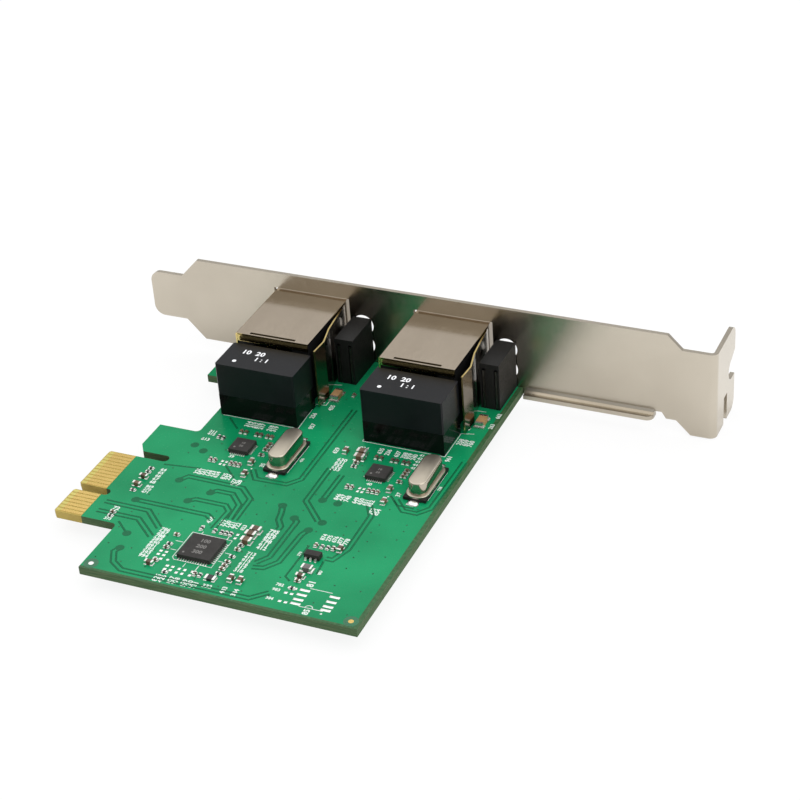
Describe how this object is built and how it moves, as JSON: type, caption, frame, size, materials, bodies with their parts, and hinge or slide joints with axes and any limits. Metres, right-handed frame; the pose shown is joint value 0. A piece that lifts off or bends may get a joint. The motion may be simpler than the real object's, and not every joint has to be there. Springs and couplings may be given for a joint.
{
  "type": "network interface card",
  "caption": "Flat green circuit board with an edge connector, shielded network jacks with indicator lights, box transformers and a folded steel mounting bracket with a screw tab.",
  "frame": {"origin": "middle of the key notch at the tip of the edge connector, on the board's component side", "axes": "+X along the bracket from its foot to its screw tab, +Y from the board's front edge out through the bracket, +Z out of the component side"},
  "size_m": [0.12, 0.0914, 0.0213],
  "materials": {
    "solder_mask": "glossy green solder mask over glass fibre laminate",
    "gold_plate": "gold plating",
    "bracket_steel": "satin nickel plate",
    "screw_steel": "nickel plate",
    "shield_metal": "satin tin plate over brass",
    "black_plastic": "satin moulded",
    "green_lens": "tinted clear resin",
    "amber_lens": "tinted clear resin",
    "transformer_black": "satin moulded",
    "transformer_resin": "glossy moulded",
    "can_metal": "drawn nickel silver",
    "chip_resin": "matte moulded epoxy",
    "capacitor_ceramic": "matte ceramic",
    "tan_ceramic": "matte ceramic",
    "resistor_glaze": "glazed",
    "ferrite": "matte",
    "tin": "bright tin"
  },
  "bodies": {
    "root": {"bracket": "bracket_steel", "bracket_screws": "screw_steel", "capacitor_ends": "tin", "ceramic_capacitors": "capacitor_ceramic", "chip_resistors": "resistor_glaze", "circuit_board": "solder_mask", "crystal_base_1": "black_plastic", "crystal_base_2": "black_plastic", "crystal_can_1": "can_metal", "crystal_can_2": "can_metal", "crystal_leads_1": "tin", "crystal_leads_2": "tin", "edge_contacts": "gold_plate", "inductor": "ferrite", "inductor_ends": "tin", "isolation_capacitor_ends": "tin", "isolation_capacitors": "tan_ceramic", "jack_contacts_1": "gold_plate", "jack_contacts_2": "gold_plate", "jack_housing_1": "black_plastic", "jack_housing_2": "black_plastic", "jack_shield_1": "shield_metal", "jack_shield_2": "shield_metal", "lan_chip_1": "chip_resin", "lan_chip_1_lands": "tin", "lan_chip_2": "chip_resin", "lan_chip_2_lands": "tin", "light_holder_1": "black_plastic", "light_holder_2": "black_plastic", "light_leads_1": "tin", "light_leads_2": "tin", "light_lower_1": "green_lens", "light_lower_2": "green_lens", "light_upper_1": "amber_lens", "light_upper_2": "amber_lens", "regulator": "chip_resin", "regulator_leads": "tin", "resistor_ends": "tin", "switch_chip": "chip_resin", "switch_chip_lands": "tin", "transformer_base_1": "transformer_resin", "transformer_base_2": "transformer_resin", "transformer_cover_1": "transformer_black", "transformer_cover_2": "transformer_black", "transformer_pins_1": "tin", "transformer_pins_2": "tin"}
  },
  "joints": []
}
